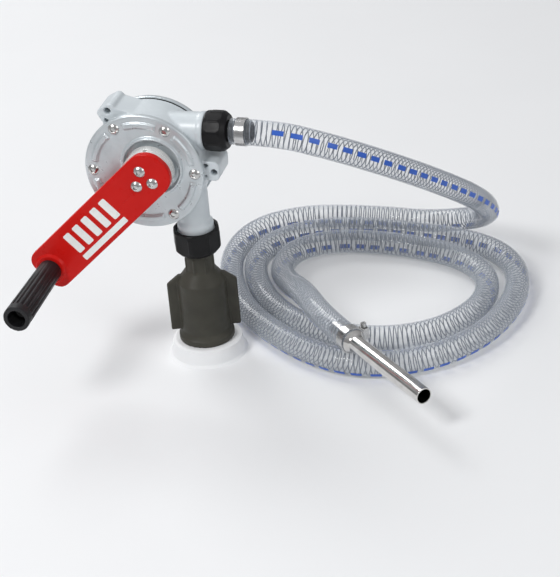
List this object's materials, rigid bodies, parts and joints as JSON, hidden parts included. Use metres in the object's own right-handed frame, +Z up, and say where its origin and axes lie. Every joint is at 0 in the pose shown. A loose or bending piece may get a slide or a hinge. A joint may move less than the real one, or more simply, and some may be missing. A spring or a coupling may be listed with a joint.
{
  "type": "drum barrel pump",
  "caption": "Hand-cranked rotary vane pump on a drum bung adapter, with a telescopic suction tube, a clear spiral-wire delivery hose in loose turns and a straight steel spout.",
  "frame": {"origin": "on the suction tube's axis inside the bung thread, 10 mm below the seat of the bung adapter's flange", "axes": "+X along the outlet port, -Y along the crank shaft to the front, +Z up the suction tube"},
  "size_m": [0.5782, 0.5496, 0.7374],
  "materials": {
    "casing_paint": "satin",
    "cover_metal": "satin cast",
    "screw_steel": "bright",
    "gasket_rubber": "matt",
    "bronze": "turned",
    "shaft_steel": "turned",
    "rotor_iron": "machined",
    "vane_plastic": "satin",
    "arm_red": "gloss",
    "grip_rubber": "ribbed, satin",
    "nut_black": "satin",
    "adapter_black": "satin",
    "tube_steel": "zinc plated",
    "strainer_plastic": "satin",
    "tail_plastic": "satin",
    "clamp_steel": "bright",
    "hose_clear": "clear flexible plastic with a steel spiral",
    "spout_steel": "polished"
  },
  "bodies": {
    "pump": {"pump_casing": "casing_paint", "front_cover": "cover_metal", "rear_cover": "cover_metal", "front_gasket": "gasket_rubber", "rear_gasket": "gasket_rubber", "front_cover_screws": "screw_steel", "rear_cover_screws": "screw_steel", "front_bush": "bronze", "rear_bush": "bronze", "shaft_seal": "gasket_rubber", "bung_adapter": "adapter_black", "bung_gasket": "gasket_rubber", "inlet_seal": "gasket_rubber", "suction_tube_upper": "tube_steel", "upper_tube_bush": "vane_plastic", "outlet_seal": "gasket_rubber", "outlet_hose_tail": "tail_plastic", "pump_clamp_band": "clamp_steel", "pump_clamp_screw": "clamp_steel", "hose_drop": "hose_clear", "hose_outer_turn": "hose_clear", "hose_middle_turn": "hose_clear", "hose_inner_turn": "hose_clear", "spout_clamp_band": "clamp_steel", "spout_clamp_screw": "clamp_steel", "spout": "spout_steel"},
    "crank": {"crank_hub": "shaft_steel", "hub_set_screw": "screw_steel", "crank_arm": "arm_red", "crank_arm_screws": "screw_steel", "grip_spindle": "shaft_steel", "grip_screw": "screw_steel", "grip_washer": "screw_steel", "drive_shaft": "shaft_steel", "shaft_key": "screw_steel", "rotor": "rotor_iron", "vane_1": "vane_plastic", "vane_2": "vane_plastic", "vane_3": "vane_plastic", "vane_4": "vane_plastic", "vane_5": "vane_plastic"},
    "grip": {"hand_grip": "grip_rubber"},
    "inlet_nut_carrier": {"inlet_slip_ring": "vane_plastic"},
    "inlet_nut": {"inlet_union_nut": "nut_black"},
    "outlet_nut_carrier": {"outlet_slip_ring": "vane_plastic"},
    "outlet_nut": {"outlet_union_nut": "nut_black"},
    "tube_middle": {"suction_tube_middle": "tube_steel", "middle_tube_ring": "vane_plastic", "middle_tube_bush": "vane_plastic"},
    "tube_lower": {"suction_tube_lower": "tube_steel", "lower_tube_ring": "vane_plastic", "suction_strainer": "strainer_plastic"}
  },
  "joints": [
    {"name": "crank_turn", "type": "hinge", "parent": "pump", "child": "crank", "pos_m": [-0.036, 0, 0.261], "axis": [0, -1, 0], "continuous": true},
    {"name": "grip_spin", "type": "hinge", "parent": "crank", "child": "grip", "pos_m": [-0.16872, -0.13, 0.13284], "axis": [0, -1, 0], "continuous": true},
    {"name": "inlet_nut_travel", "type": "slide", "parent": "pump", "child": "inlet_nut_carrier", "axis": [0, 0, -1], "range_m": [0, 0.02]},
    {"name": "inlet_nut_turn", "type": "hinge", "parent": "inlet_nut_carrier", "child": "inlet_nut", "pos_m": [0, 0, 0.14], "axis": [0, 0, -1], "range_deg": [0, 3115]},
    {"name": "outlet_nut_travel", "type": "slide", "parent": "pump", "child": "outlet_nut_carrier", "axis": [1, 0, 0], "range_m": [0, 0.0015]},
    {"name": "outlet_nut_turn", "type": "hinge", "parent": "outlet_nut_carrier", "child": "outlet_nut", "pos_m": [0.04, 0, 0.297], "axis": [1, 0, 0], "range_deg": [0, 232]},
    {"name": "tube_middle_slide", "type": "slide", "parent": "pump", "child": "tube_middle", "axis": [0, 0, -1], "range_m": [0, 0.23]},
    {"name": "tube_lower_slide", "type": "slide", "parent": "tube_middle", "child": "tube_lower", "axis": [0, 0, -1], "range_m": [0, 0.23]}
  ],
  "couplings": [
    {"joint": "inlet_nut_travel", "follows": "inlet_nut_turn", "m_per_rad": 0.00036749},
    {"joint": "outlet_nut_travel", "follows": "outlet_nut_turn", "m_per_rad": 0.00036749}
  ]
}
